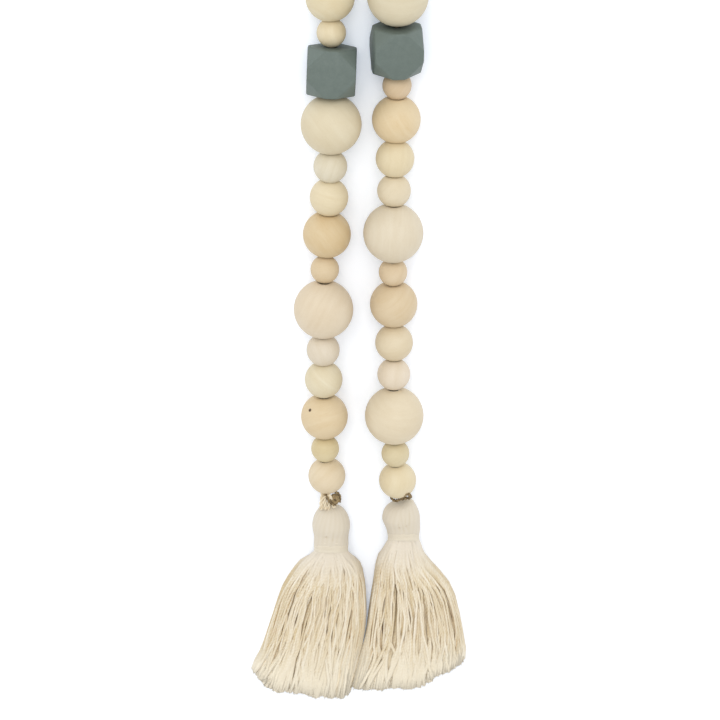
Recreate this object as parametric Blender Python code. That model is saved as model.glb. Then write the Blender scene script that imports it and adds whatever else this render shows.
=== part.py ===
"""Wood bead garland with a cotton tassel at each end, folded in half and lying flat.

+Z is up, +X is to the right, and +Y runs from the tassels to the closed end of the loop.
Sizes in the tables and functions are in millimetres, and MM turns them into metres.
"""

import math
import random
from collections import namedtuple

import bmesh
import bpy
import numpy as np
from mathutils import Matrix, Vector

MM = 0.001
TOUCHING = 0.3  # gap left between pieces that touch on the real garland
LOOSE = 0.5  # extra gap between the beads nearest the knots, which have slid a little apart
LOOSE_GAPS = 5  # how many gaps at each end are loose

# Bead kinds: width across the bore, length along the bore, sides of the turned solid, colour
Bead = namedtuple("Bead", "across length sides colour")
BEADS = {
    "wood25": Bead(25.0, 23.6, 12, (228, 219, 197)),
    "wood20": Bead(20.0, 17.5, 12, (226, 206, 165)),
    "wood16": Bead(16.0, 14.6, 10, (227, 213, 180)),
    "wood14": Bead(14.0, 11.8, 10, (224, 214, 190)),
    "wood12": Bead(12.0, 10.3, 10, (220, 200, 165)),
    "sage20": Bead(20.0, 19.8, 8, (118, 132, 124)),
}
REPEAT = ("wood12", "wood20", "wood16", "wood14", "wood25")
THIRD = 2 * REPEAT + ("sage20",)
STRUNG = ("wood16",) + 3 * THIRD + 2 * REPEAT + ("wood12", "wood16")

# Height of the string inside the beads that rest on the floor, at its ends, and below a sage bead
FLOOR_STRING = {"wood25": 12.0, "wood20": 10.5}
END_HEIGHTS = (8.4, 9.4)
SAGE_LOW_END = 10.15

BORE_RADIUS = 2.0
STRING_RADIUS = 1.0
STRING_SLACK = 0.5  # how far the string lies off the middle of a resting bead's bore
FLAT_BAND = math.radians(12)  # half of the level band round a bead's middle
SHOULDER = math.radians(41)  # where a bead's side turns in towards its bored end
SAGE_CORNER = 0.22  # corner of a sage bead's cut, as a share of half its width
SAGE_RIM = 8.6  # from a sage bead's bore to the nearest edge of its end
SAGE_TURNS = (0.0, 3.0, -4.5)  # turn of each sage bead about the string, in degrees

# The string's line seen from above: x, y. Each side starts at its knot.
LEFT_SIDE = (
    (-13.7, -57.6),
    (-14.9, -40.0),
    (-15.3, -8.0),
    (-15.6, 14.0),
    (-14.9, 42.0),
    (-12.9, 74.0),
    (-11.8, 105.0),
    (-11.6, 146.0),
    (-12.2, 168.0),
)
RIGHT_SIDE = (
    (16.9, -59.2),
    (15.2, -40.0),
    (14.3, -12.0),
    (14.4, 18.0),
    (13.7, 50.0),
    (14.1, 84.0),
    (15.1, 120.0),
    (14.9, 165.0),
)
# The closed end: x, and y as a share of the reach beyond LOOP_START
LOOP_START = 166.0
LOOP = (
    (-16.5, 0.22),
    (-28.0, 0.46),
    (-37.0, 0.72),
    (-26.0, 0.92),
    (1.5, 1.00),
    (29.0, 0.92),
    (40.0, 0.72),
    (31.0, 0.46),
    (19.5, 0.22),
)

# Tassel head, from the bound neck up to the crown: distance above the neck's end, share of its radius
HEAD = (
    (0.30, 0.84),
    (0.42, 0.96),
    (0.62, 1.00),
    (0.78, 0.90),
    (0.92, 0.66),
    (1.00, 0.26),
)
HEAD_RADIUS = 8.2
HEAD_HEIGHT = 8.0  # height of a head's middle line, so its underside is pressed a little flat
COLUMNS, LAYERS = 18, 4  # yarn locks across and through a skirt
LOCK_GAP = 0.11  # half of the gap between two locks, as a share of a lock's pitch
BRICK = 0.22  # sideways step between layers, as a share of a lock's pitch

# Skirt sections: y, left edge, right edge, thickness, height of its underside
Section = namedtuple("Section", "y left right thick lift")
Tassel = namedtuple("Tassel", "middle crown neck_end neck_radius sections tips seed")
TASSELS = {
    "left": Tassel(
        -12.6,
        -64.6,
        -88.0,
        6.9,
        (
            Section(-95.5, -28.4, 0.0, 14.0, 0.7),
            Section(-110.0, -35.0, 2.2, 12.5, 0.0),
            Section(-133.0, -41.6, 0.8, 9.6, 0.0),
        ),
        (
            (-47.6, -149.3),
            (-42.6, -155.0),
            (-36.8, -159.2),
            (-26.4, -158.0),
            (-21.0, -161.2),
            (-16.4, -159.8),
            (-10.0, -162.4),
            (-5.2, -160.0),
        ),
        4,
    ),
    "right": Tassel(
        18.2,
        -62.4,
        -82.0,
        6.1,
        (
            Section(-92.0, 8.0, 31.0, 14.0, 0.7),
            Section(-108.0, 5.6, 40.4, 12.5, 0.0),
            Section(-132.0, 2.2, 45.8, 9.6, 0.0),
        ),
        (
            (-3.6, -156.4),
            (4.0, -157.6),
            (12.0, -156.8),
            (20.0, -156.4),
            (26.5, -156.0),
            (33.0, -151.4),
            (40.0, -146.0),
            (47.6, -143.4),
        ),
        9,
    ),
}
TIP_THICK = 6.6
EDGE_THIN = 0.42  # thickness at a skirt's edges, as a share of its middle

# Neck bindings: y of the middle, length along the neck, outer radius
BINDINGS = {"left": (-84.6, 5.4, 7.7), "right": (-79.7, 4.0, 6.9)}
BINDING_WRAPS = 3  # turns of thread side by side
BINDING_GROOVE = 0.5
BINDING_SIDES = 16

# Twine knots, turned about a line across the string: middle, then distance along it and radius
KNOT_SIDES = 10
KNOTS = {
    "left": (
        (-12.0, -61.2, 8.6),
        (
            (-3.6, 1.0),
            (-2.6, 2.1),
            (-1.5, 2.5),
            (-0.5, 2.1),
            (0.6, 2.6),
            (1.8, 2.7),
            (2.9, 2.1),
            (3.7, 0.9),
        ),
    ),
    "right": (
        (17.9, -60.75, 8.8),
        (
            (-4.7, 0.7),
            (-4.0, 1.1),
            (-1.6, 1.2),
            (0.0, 1.05),
            (1.2, 1.25),
            (2.2, 1.3),
            (3.6, 1.25),
            (4.5, 0.6),
        ),
    ),
}

# The left tassel's hanging loop: x, y, z
HANGING_LOOP = (
    (-17.5, -66.2, 11.4),
    (-17.1, -63.4, 11.2),
    (-16.9, -61.7, 9.6),
    (-16.9, -61.6, 7.6),
    (-17.1, -63.2, 5.6),
    (-17.5, -66.1, 5.4),
)
HANGING_LOOP_RADIUS = 0.75

COTTON = (229, 220, 199)
COTTON_THREAD = (233, 224, 205)
TWINE = (112, 94, 66)


def material(name, colour, roughness):
    """A Principled material from an sRGB colour of 0 to 255."""
    made = bpy.data.materials.new(name)
    made.use_nodes = True
    shader = made.node_tree.nodes["Principled BSDF"]
    linear = [(c / 255 / 12.92) if c < 11 else ((c / 255 + 0.055) / 1.055) ** 2.4 for c in colour]
    shader.inputs["Base Color"].default_value = (*linear, 1.0)
    shader.inputs["Roughness"].default_value = roughness
    shader.inputs["Metallic"].default_value = 0.0
    return made


def add_object(name, data, paint):
    """Links an object that holds this mesh or curve."""
    made = bpy.data.objects.new(name, data)
    bpy.context.scene.collection.objects.link(made)
    data.materials.append(paint)
    return made


def mesh_from(bm, name, sharp_degrees):
    """Turns a finished bmesh, in millimetres, into a smooth-shaded mesh in metres."""
    bmesh.ops.recalc_face_normals(bm, faces=bm.faces)
    bmesh.ops.scale(bm, vec=(MM, MM, MM), verts=bm.verts)
    mesh = bpy.data.meshes.new(name)
    bm.to_mesh(mesh)
    bm.free()
    mesh.shade_smooth()
    mesh.set_sharp_from_angle(angle=math.radians(sharp_degrees))
    return mesh


def rim_radius(bead):
    """Radius of the small flat round a round bead's bore."""
    return math.sqrt((bead.across / 2) ** 2 - (bead.length / 2) ** 2)


def turned(profile, sides, closed=True):
    """A solid turned about the Y axis from (radius, y) pairs, with one flat side facing down."""
    bm = bmesh.new()
    corners = [bm.verts.new((radius, along, 0)) for radius, along in profile]
    edges = [bm.edges.new(pair) for pair in zip(corners, corners[1:])]
    if closed:
        edges.append(bm.edges.new((corners[-1], corners[0])))
    bmesh.ops.spin(
        bm, geom=corners + edges, cent=(0, 0, 0), axis=(0, 1, 0),
        angle=math.tau, steps=sides, use_merge=True,
    )
    half_side = math.pi / sides
    bmesh.ops.rotate(
        bm, verts=bm.verts, cent=(0, 0, 0),
        matrix=Matrix.Rotation(math.pi / 2 + half_side, 3, "Y"),
    )
    return bm


def round_bead_mesh(kind):
    """A bored wood ball. Its flat sides touch the ball's true size, and its lowest one lies level."""
    bead = BEADS[kind]
    end = bead.length / 2
    flat_side = bead.across / 2
    corner = flat_side / math.cos(math.pi / bead.sides)
    shoulder = corner * math.cos(SHOULDER) / math.cos(FLAT_BAND)
    rim = rim_radius(bead)
    profile = (
        (BORE_RADIUS, -end),
        (rim, -end),
        (shoulder, -flat_side * math.sin(SHOULDER)),
        (corner, -flat_side * math.sin(FLAT_BAND)),
        (corner, flat_side * math.sin(FLAT_BAND)),
        (shoulder, flat_side * math.sin(SHOULDER)),
        (rim, end),
        (BORE_RADIUS, end),
    )
    return mesh_from(turned(profile, bead.sides), kind, 35)


def sage_bead_mesh():
    """A faceted bead: a cube with its eight corners cut away and a hole through two square ends."""
    bead = BEADS["sage20"]
    bm = bmesh.new()
    bmesh.ops.create_cube(bm, size=bead.across)
    cut = bead.across / 2 * (1 - SAGE_CORNER)
    bmesh.ops.bevel(
        bm, geom=bm.verts[:], affect="VERTICES", offset=cut, offset_type="OFFSET",
        segments=1, profile=0.5, material=-1,
    )
    bmesh.ops.remove_doubles(bm, verts=bm.verts, dist=0.01)
    ends = [face for face in bm.faces if abs(face.normal.y) > 0.99]
    bmesh.ops.inset_individual(bm, faces=ends, thickness=1.0)
    for face in ends:
        for vert in face.verts:
            across = Vector((vert.co.x, 0, vert.co.z)).normalized() * BORE_RADIUS
            vert.co = Vector((across.x, vert.co.y, across.z))
    loops = [edge for face in ends for edge in face.edges]
    bmesh.ops.delete(bm, geom=ends, context="FACES_ONLY")
    bmesh.ops.bridge_loops(bm, edges=loops)
    bmesh.ops.scale(bm, vec=(1, bead.length / bead.across, 1), verts=bm.verts)
    return mesh_from(bm, "sage20", 20)


def smooth_line(points, steps=24):
    """Points of a smooth curve that passes through all of these points."""
    rows = [np.array(point, float) for point in points]
    rows = [2 * rows[0] - rows[1]] + rows + [2 * rows[-1] - rows[-2]]
    line = []
    for before, start, end, after in zip(rows, rows[1:], rows[2:], rows[3:]):
        for t in np.arange(steps) / steps:
            line.append(
                0.5 * (2 * start + (end - before) * t
                       + (2 * before - 5 * start + 4 * end - after) * t ** 2
                       + (3 * start - before - 3 * end + after) * t ** 3)
            )
    return np.array(line + [rows[-2]])


def string_line(reach):
    """The string's whole line from the left knot round to the right one, for a loop of this reach."""
    loop = [(x, LOOP_START + share * reach) for x, share in LOOP]
    return smooth_line(list(LEFT_SIDE) + loop + list(reversed(RIGHT_SIDE)))


def string_heights():
    """Height of the string at each bead's ends: level in a bead on the floor, and sloping between."""
    stations = np.concatenate([[0], np.cumsum([BEADS[kind].length for kind in STRUNG])])
    held = {0: END_HEIGHTS[0], len(STRUNG): END_HEIGHTS[1]}
    for index, kind in enumerate(STRUNG):
        if kind in FLOOR_STRING:
            held[index] = held[index + 1] = FLOOR_STRING[kind]
        if kind == "sage20":
            held[index + 1] = SAGE_LOW_END
    places = sorted(held)
    return np.interp(stations, stations[places], [held[place] for place in places])


def gaps_at(stops):
    """Half of the gap that each pair of neighbours needs, for the bend of the string between them."""
    runs = np.diff(stops, axis=0)
    runs /= np.linalg.norm(runs, axis=1)[:, None]
    rims = [SAGE_RIM if kind == "sage20" else rim_radius(BEADS[kind]) + STRING_SLACK for kind in STRUNG]
    bends = np.arccos(np.clip((runs[1:] * runs[:-1]).sum(axis=1), -1, 1))
    gaps = np.add(rims[1:], rims[:-1]) / 2 * np.tan(bends / 2) + TOUCHING / 2
    gaps[:LOOSE_GAPS] += LOOSE / 2
    gaps[-LOOSE_GAPS:] += LOOSE / 2
    return [TOUCHING / 2, *gaps, TOUCHING / 2]


def stops_along(line, gaps):
    """The string's points at the bead ends on this line, and how much line is left after the last."""
    distance = np.concatenate([[0], np.cumsum(np.linalg.norm(np.diff(line, axis=0), axis=1))])
    heights = string_heights()

    def at(along, height):
        return np.array([*(np.interp(along, distance, line[:, axis]) for axis in (0, 1)), height])

    along = 0.0
    stops = [at(along, heights[0])]
    for index, kind in enumerate(STRUNG):
        wanted = BEADS[kind].length + gaps[index] + gaps[index + 1]
        along += wanted
        for _ in range(5):
            along += wanted - np.linalg.norm(at(along, heights[index + 1]) - stops[-1])
        stops.append(at(along, heights[index + 1]))
    return np.array(stops), distance[-1] - along


def string_the_beads():
    """The string's points at the bead ends, on a loop just long enough for all of the beads."""
    reach = 160.0
    for _ in range(30):
        line = string_line(reach)
        stops, _ = stops_along(line, [TOUCHING / 2] * (len(STRUNG) + 1))
        for _ in range(3):
            stops, left_over = stops_along(line, gaps_at(stops))
        reach -= left_over / 2
    return [Vector(stop) for stop in stops]


def make_beads():
    """All the beads. Returns the string's points, one at each end of each bead."""
    stops = string_the_beads()
    meshes = {kind: round_bead_mesh(kind) for kind in BEADS if kind != "sage20"}
    meshes["sage20"] = sage_bead_mesh()
    for kind, mesh in meshes.items():
        mesh.materials.append(material(kind, BEADS[kind].colour, 0.62))
    turns = iter(SAGE_TURNS)
    for index, (kind, start, end) in enumerate(zip(STRUNG, stops, stops[1:])):
        middle = (start + end) / 2
        axis = (end - start).normalized()
        if kind in FLOOR_STRING:
            middle.z = BEADS[kind].across / 2
            axis = Vector((axis.x, axis.y, 0)).normalized()
        side = axis.cross(Vector((0, 0, 1))).normalized()
        placed = Matrix((side, axis, side.cross(axis))).transposed()
        if kind == "sage20":
            placed = placed @ Matrix.Rotation(math.radians(next(turns)), 3, "Y")
        bead = bpy.data.objects.new(f"bead_{index + 1:02d}_{kind}", meshes[kind])
        bpy.context.scene.collection.objects.link(bead)
        bead.matrix_world = Matrix.Translation(middle * MM) @ placed.to_4x4()
    return stops


def make_tube(name, points, radius, paint):
    """A round cord through these points, with closed ends."""
    curve = bpy.data.curves.new(name, "CURVE")
    curve.dimensions = "3D"
    curve.bevel_depth = radius * MM
    curve.bevel_resolution = 2
    curve.use_fill_caps = True
    line = curve.splines.new("POLY")
    line.points.add(len(points) - 1)
    for spot, point in zip(line.points, points):
        spot.co = (*(Vector(point) * MM), 1)
    return add_object(name, curve, paint)


def skirt_place(tassel, column, layer, u, v, station, rng_shift):
    """Where a point of a yarn lock lies. u and v run from 0 to 1 across and up the whole skirt."""
    if station == 0:
        across, up = 2 * u - 1, 2 * v - 1
        return (
            tassel.middle + tassel.neck_radius * across * math.sqrt(1 - up ** 2 / 2),
            tassel.neck_end,
            HEAD_HEIGHT + tassel.neck_radius * up * math.sqrt(1 - across ** 2 / 2),
        )
    crown = EDGE_THIN + (1 - EDGE_THIN) * math.sin(math.pi * u) ** 0.8
    level = (v - LOCK_GAP / LAYERS) / (1 - LOCK_GAP / LAYERS)
    if station <= len(tassel.sections):
        section = tassel.sections[station - 1]
        step = (BRICK * (layer % 2 - 0.5) * (station > 1) + rng_shift[station - 1]) / COLUMNS
        spot = min(max(u + step, 0.0), 1.0)
        x = section.left + (section.right - section.left) * spot
        return x, section.y, section.lift + section.thick * crown * level
    middle = (column + 0.5) / COLUMNS
    shares = np.linspace(0, 1, len(tassel.tips))
    step = (BRICK * (layer % 2 - 0.5) + rng_shift[-1]) / COLUMNS
    x = np.interp(min(max(u + step, 0.0), 1.0), shares, [tip[0] for tip in tassel.tips])
    y = np.interp(middle, shares, [tip[1] for tip in tassel.tips]) + rng_shift[0] * 20
    return x, y, TIP_THICK * crown * level


def make_tassel(side, paint):
    """One cotton tassel: the head and its bound neck, with the skirt's yarn locks growing from it."""
    tassel = TASSELS[side]
    rng = random.Random(tassel.seed)
    bm = bmesh.new()
    cells = bmesh.ops.create_grid(bm, x_segments=COLUMNS, y_segments=LAYERS, size=0.5)
    bmesh.ops.scale(bm, vec=(COLUMNS, LAYERS, 1), verts=cells["verts"])
    bmesh.ops.translate(bm, vec=(COLUMNS / 2, LAYERS / 2, 0), verts=cells["verts"])
    locks = bm.faces[:]
    bmesh.ops.inset_individual(bm, faces=locks, thickness=LOCK_GAP, use_even_offset=True)
    for _ in range(len(tassel.sections) + 1):
        locks = bmesh.ops.extrude_discrete_faces(bm, faces=locks)["faces"]
        lifted = [vert for face in locks for vert in face.verts]
        bmesh.ops.translate(bm, vec=(0, 0, 1), verts=lifted)
    shifts = {
        (column, layer): [rng.uniform(-0.07, 0.07) for _ in range(len(tassel.sections) + 1)]
        for column in range(COLUMNS) for layer in range(LAYERS)
    }
    for vert in bm.verts:
        column = min(int(vert.co.x), COLUMNS - 1)
        layer = min(int(vert.co.y), LAYERS - 1)
        vert.co = skirt_place(
            tassel, column, layer, vert.co.x / COLUMNS, vert.co.y / LAYERS,
            round(vert.co.z), shifts[column, layer],
        )
    head_length = tassel.crown - tassel.neck_end
    rim = [edge for edge in bm.edges if edge.is_boundary]
    for share, width in HEAD:
        grown = bmesh.ops.extrude_edge_only(bm, edges=rim)["geom"]
        rim = [item for item in grown if isinstance(item, bmesh.types.BMEdge) and item.is_boundary]
        for vert in (item for item in grown if isinstance(item, bmesh.types.BMVert)):
            out = Vector((vert.co.x - tassel.middle, 0, vert.co.z - HEAD_HEIGHT)).normalized()
            radius = tassel.neck_radius if share == HEAD[0][0] else HEAD_RADIUS * width
            vert.co = Vector((
                tassel.middle + out.x * radius,
                tassel.neck_end + head_length * share,
                max(0.0, HEAD_HEIGHT + out.z * radius),
            ))
    bmesh.ops.edgeloop_fill(bm, edges=rim)
    add_object(f"tassel_{side}", mesh_from(bm, f"tassel_{side}", 40), paint)


def make_binding(side, paint):
    """The thread wound round a tassel's neck, as one band with a groove between its wraps."""
    middle, length, radius = BINDINGS[side]
    inner = TASSELS[side].neck_radius + TOUCHING
    start = -length / 2
    wrap = length / BINDING_WRAPS
    profile = [(inner, -start), (inner, start), (radius - BINDING_GROOVE, start)]
    for index in range(BINDING_WRAPS):
        profile.append((radius, start + (index + 0.5) * wrap))
        profile.append((radius - BINDING_GROOVE, start + (index + 1) * wrap))
    band = add_object(
        f"binding_{side}", mesh_from(turned(profile, BINDING_SIDES), f"binding_{side}", 60), paint
    )
    band.location = Vector((TASSELS[side].middle, middle, HEAD_HEIGHT)) * MM


def make_knot(side, paint):
    """The twine knot that holds a tassel: a lump of turns lying across the end of the string."""
    place, turns = KNOTS[side]
    bm = turned([(radius, along) for along, radius in turns], KNOT_SIDES, closed=False)
    for end in (-1, 1):
        rim = [edge for edge in bm.edges if edge.is_boundary and edge.verts[0].co.y * end > 0]
        bmesh.ops.edgeloop_fill(bm, edges=rim)
    knot = add_object(f"knot_{side}", mesh_from(bm, f"knot_{side}", 60), paint)
    knot.matrix_world = Matrix.Translation(Vector(place) * MM) @ Matrix.Rotation(-math.pi / 2, 4, "Z")


def centre_on_floor():
    """Moves the garland so that the middle of its outline is at x = 0, y = 0."""
    bpy.context.view_layer.update()
    solids = [item for item in bpy.data.objects if item.type == "MESH"]
    spots = [item.matrix_world @ vert.co for item in solids for vert in item.data.vertices]
    middle = (np.min(spots, axis=0) + np.max(spots, axis=0)) / 2
    for item in bpy.data.objects:
        item.location -= Vector((middle[0], middle[1], 0))


def main():
    for item in list(bpy.data.objects):
        bpy.data.objects.remove(item)
    cotton = material("cotton", COTTON, 0.9)
    thread = material("cotton_thread", COTTON_THREAD, 0.85)
    twine = material("twine", TWINE, 0.85)
    make_tube("string", make_beads(), STRING_RADIUS, twine)
    for side in TASSELS:
        make_tassel(side, cotton)
        make_binding(side, thread)
        make_knot(side, twine)
    loop = [tuple(point) for point in smooth_line(HANGING_LOOP, 3)]
    make_tube("hanging_loop", loop, HANGING_LOOP_RADIUS, cotton)
    centre_on_floor()


main()
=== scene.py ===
"""Looks of the wood bead garland: sanded beads, painted beads, twine, and cotton tassels.

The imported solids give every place. Sizes in the tables are in millimetres, in the photograph's
own frame: x to the right and y up the picture, measured from the picture's middle on the floor.
"""

import math
import random
from collections import namedtuple

import bmesh
import bpy
import numpy as np
from mathutils import Matrix, Vector


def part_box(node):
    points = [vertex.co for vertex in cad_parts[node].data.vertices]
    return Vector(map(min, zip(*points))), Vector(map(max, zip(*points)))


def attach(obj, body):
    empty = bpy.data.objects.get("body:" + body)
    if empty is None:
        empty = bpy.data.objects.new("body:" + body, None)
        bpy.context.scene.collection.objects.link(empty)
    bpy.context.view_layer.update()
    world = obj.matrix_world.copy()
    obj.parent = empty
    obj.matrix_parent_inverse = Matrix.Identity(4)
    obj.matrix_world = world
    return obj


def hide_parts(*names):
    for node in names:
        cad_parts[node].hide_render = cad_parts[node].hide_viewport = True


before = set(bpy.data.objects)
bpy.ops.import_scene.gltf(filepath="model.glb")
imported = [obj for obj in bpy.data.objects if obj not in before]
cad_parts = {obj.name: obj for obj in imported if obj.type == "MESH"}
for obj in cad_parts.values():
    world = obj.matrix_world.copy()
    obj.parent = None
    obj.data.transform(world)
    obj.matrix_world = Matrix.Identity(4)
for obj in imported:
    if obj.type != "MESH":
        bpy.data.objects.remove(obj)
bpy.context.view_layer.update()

MM = 0.001
BINDING_IN_PHOTO = (-12.6, -84.6)  # where the left binding's middle lies in the photograph's frame

# Camera: tilt from straight above towards the loop, and distance
CAMERA_TILT = math.radians(22)
CAMERA_DISTANCE = 1200.0
FLOOR_GLOW = (0.10, 0.14, 0.20, 1)  # a faint blue, against the warm light that the beads throw on it


def photo_middle():
    """The photograph's middle on the floor, in metres, found from the left binding."""
    x, y, _ = np.mean(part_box("binding_left"), axis=0)
    return Vector((x - BINDING_IN_PHOTO[0] * MM, y - BINDING_IN_PHOTO[1] * MM, 0))


PHOTO = photo_middle()


def linear(colour):
    """A linear colour from an sRGB one of 0 to 255."""
    values = [(c / 255 / 12.92) if c < 11 else ((c / 255 + 0.055) / 1.055) ** 2.4 for c in colour]
    return (*values, 1.0)


class Board:
    """A node tree with short calls for the nodes that the materials here use."""

    def __init__(self, tree):
        self.tree = tree

    def add(self, kind, inputs=None, **settings):
        node = self.tree.nodes.new(kind)
        for name, value in settings.items():
            setattr(node, name, value)
        self.fill(node.inputs, inputs or {})
        return node

    def fill(self, sockets, values):
        for name, value in values.items():
            self.plug(sockets[name], value)

    def plug(self, socket, value):
        if isinstance(value, bpy.types.NodeSocket):
            self.tree.links.new(value, socket)
        elif value is not None:
            socket.default_value = value

    def math(self, operation, first, second=None, clamp=False):
        node = self.add("ShaderNodeMath", {0: first, 1: second}, operation=operation, use_clamp=clamp)
        return node.outputs[0]

    def spread(self, value, low, high, out_low=0.0, out_high=1.0):
        """The value stretched from low..high to out_low..out_high, held at the ends."""
        node = self.add("ShaderNodeMapRange", {
            "Value": value, "From Min": low, "From Max": high, "To Min": out_low, "To Max": out_high,
        })
        return node.outputs["Result"]

    def mix(self, share, first, second, blend="MIX"):
        sockets = {0: share, 6: first, 7: second}
        return self.add("ShaderNodeMix", sockets, data_type="RGBA", blend_type=blend).outputs[2]

    def noise(self, vector, scale, detail=3.0, roughness=0.5, distortion=0.0):
        node = self.add("ShaderNodeTexNoise", {
            "Vector": vector, "Scale": scale, "Detail": detail, "Roughness": roughness,
            "Distortion": distortion,
        })
        return node.outputs["Fac"]

    def vectors(self, operation, first, second=None, output="Vector", **more):
        node = self.add("ShaderNodeVectorMath", {0: first, 1: second, **more}, operation=operation)
        return node.outputs[output]

    def attribute(self, name, output="Vector"):
        return self.add("ShaderNodeAttribute", attribute_name=name).outputs[output]

    def bump(self, height, strength, distance, normal=None):
        """Normals roughened by this height, whose full range is this many metres deep."""
        node = self.add("ShaderNodeBump", {
            "Height": height, "Strength": strength, "Distance": distance, "Normal": normal,
        })
        return node.outputs[0]


def new_group(name, inputs, outputs):
    """A shader group with these inputs, and an output for each name: its board and both ends' sockets."""
    tree = bpy.data.node_groups.new(name, "ShaderNodeTree")
    for label, kind, value in inputs:
        socket = tree.interface.new_socket(label, in_out="INPUT", socket_type=kind)
        if value is not None:
            socket.default_value = value
    for label in outputs:
        tree.interface.new_socket(label, in_out="OUTPUT", socket_type="NodeSocketFloat")
    board = Board(tree)
    return board, board.add("NodeGroupInput").outputs, board.add("NodeGroupOutput").inputs


def new_material(name):
    """A Principled material. Returns it with its board and its shader's inputs."""
    made = bpy.data.materials.new(name)
    made.use_nodes = True
    shader = made.node_tree.nodes["Principled BSDF"]
    return made, Board(made.node_tree), shader.inputs


# Noises of sanded wood: scale across, across and along the grain, and each one's share of the tone
Noise = namedtuple("Noise", "scale detail roughness distortion tone")
GRAIN_NOISES = {
    "bands": Noise((0.32, 0.05, 0.03), 2.0, 0.45, 0.8, 0.8),
    "fibres": Noise((2.6, 2.6, 0.14), 4.0, 0.6, 0.0, 0.6),
    "cloud": Noise((0.10, 0.10, 0.10), 2.0, 0.5, 0.0, 0.8),
    "pores": Noise((7.0, 7.0, 0.9), 2.0, 0.5, 0.0, 0.0),
}
PORES_SHOW = (0.66, 0.76)  # the values of their noise between which pores deepen


def grain_group():
    """Sanded wood: broad growth bands, fine fibres and small pores, along each bead's own grain."""
    board, given, out = new_group(
        "sanded_grain", [("Grain", "NodeSocketVector", None)], ("Tone", "Pores", "Height"),
    )
    values, tone = {}, 0.5
    for name, noise in GRAIN_NOISES.items():
        where = board.vectors("MULTIPLY", given["Grain"], noise.scale)
        values[name] = board.noise(where, 1.0, noise.detail, noise.roughness, noise.distortion)
        change = board.math("MULTIPLY", board.math("SUBTRACT", values[name], 0.5), noise.tone)
        tone = board.math("ADD", tone, change)
    board.fill(out, {
        "Tone": board.spread(tone, 0.0, 1.0),
        "Pores": board.spread(values["pores"], *PORES_SHOW),
        "Height": board.math("SUBTRACT", values["fibres"], board.math("MULTIPLY", values["pores"], 0.5)),
    })
    return board.tree


def lay_group():
    """Twisted yarn: slanted plies round each strand, from its stored angle and distance along it."""
    board, given, out = new_group(
        "yarn_lay",
        [("Pitch", "NodeSocketFloat", 2.0), ("Plies", "NodeSocketFloat", 2.0)],
        ("Ply", "Fibre", "Along"),
    )
    parts = board.add("ShaderNodeSeparateXYZ", {"Vector": board.attribute("lay")}).outputs
    angle = board.math("ARCTAN2", parts["Y"], parts["X"])
    turn = board.math("MULTIPLY", board.math("DIVIDE", parts["Z"], given["Pitch"]), math.tau)
    phase = board.math("ADD", board.math("MULTIPLY", angle, given["Plies"]), turn)
    wave = board.math("MULTIPLY", board.math("SINE", phase), 0.5)
    stretched = board.math("MULTIPLY", parts["Z"], 0.35)
    where = board.add("ShaderNodeCombineXYZ", {"X": phase, "Y": stretched}).outputs[0]
    board.fill(out, {
        "Ply": board.math("ADD", wave, 0.5), "Fibre": board.noise(where, 2.4), "Along": parts["Z"],
    })
    return board.tree


GRAIN = grain_group()
LAY = lay_group()

# Each kind of wooden bead: the lighter and the darker colour of its grain
WOODS = {
    "wood25": ((218, 206, 181), (206, 190, 160)),
    "wood20": ((217, 203, 172), (205, 184, 144)),
    "wood16": ((220, 208, 180), (207, 190, 154)),
    "wood14": ((221, 211, 191), (206, 192, 164)),
    "wood12": ((215, 200, 170), (199, 179, 141)),
}
# How much of a darker colour shows, and that colour as a share of the dark grain's: in the pores, and as
# painted shade in and round the bore
PORE_SHADE, BORE_PAINTED_SHADE = (0.22, 0.66), (0.65, 0.62)
# The small dark knot in one bead's wood
WOOD_KNOT_BEAD = "bead_03_wood20"
WOOD_KNOT_PLACE = (-6.1, 5.3, 5.9)  # from the bead's middle
WOOD_KNOT_RADII = (0.9, 0.5)  # where it begins to show, and where it shows fully
WOOD_KNOT_COLOUR = (74, 52, 36)


def wood(name, light, dark, speck=None):
    """Unfinished sanded wood. speck is the place in metres of a small dark knot, where a bead has one."""
    made, board, shader = new_material(name)
    grain = board.add("ShaderNodeGroup", {"Grain": board.attribute("grain")}, node_tree=GRAIN).outputs
    colour = board.mix(grain["Tone"], linear(dark), linear(light))
    colour = board.mix(1.0, colour, board.attribute("stain", "Color"), "MULTIPLY")
    # Pores darken the grain; near the bore the darker colour is painted shade.
    masks = (grain["Pores"], board.attribute("bore", "Fac"))
    for mask, (amount, shade) in zip(masks, (PORE_SHADE, BORE_PAINTED_SHADE)):
        colour = board.mix(board.math("MULTIPLY", mask, amount), colour, linear([c * shade for c in dark]))
    if speck:
        here = board.add("ShaderNodeTexCoord").outputs["Object"]
        outer, inner = (radius * MM for radius in WOOD_KNOT_RADII)
        inside = board.spread(board.vectors("DISTANCE", here, speck, "Value"), outer, inner)
        colour = board.mix(inside, colour, linear(WOOD_KNOT_COLOUR))
    board.fill(shader, {
        "Base Color": colour,
        "Roughness": board.spread(grain["Tone"], 0.0, 1.0, 0.66, 0.54),
        "Specular IOR Level": 0.35,
        "Normal": board.bump(grain["Height"], 0.16, 0.00012),
    })
    return made


SAGE_DARK, SAGE_LIGHT = (93, 105, 99), (98, 110, 104)
# How much of another colour shows in some places of the paint, and that colour: painted light on the cut
# corners, rubbed wear along the edges, and painted shade in the bore
SAGE_CUT_PAINTED_LIGHT = (0.45, (106, 118, 112))
SAGE_RUBBED = (0.25, (118, 128, 120))
# Painted shade: a dark grey-green in the bore and round its mouth, where shade falls.
SAGE_BORE_SHADE = (0.6, (70, 72, 62))


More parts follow.
